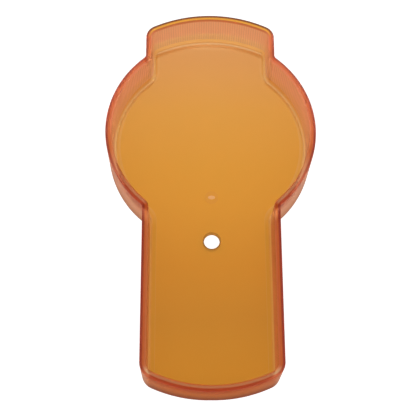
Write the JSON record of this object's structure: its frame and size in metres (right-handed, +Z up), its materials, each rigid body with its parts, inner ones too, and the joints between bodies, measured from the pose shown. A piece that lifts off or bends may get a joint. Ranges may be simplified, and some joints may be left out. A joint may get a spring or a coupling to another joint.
{
  "type": "keyhole-outline moulded tray",
  "caption": "Open tray moulded in clear amber plastic: round well with a short tab and a long handle, raised rim, hanging hole in the floor.",
  "frame": {"origin": "on the plane the tray stands on, under the middle of its bounding box", "axes": "+Z up out of the open well, +Y along the tray from the handle to the tab, +X to the right seen from the handle"},
  "size_m": [0.08, 0.1494, 0.021],
  "materials": {
    "amber_plastic": "clear amber, satin polish"
  },
  "bodies": {
    "root": {"template_body": "amber_plastic"}
  },
  "joints": []
}
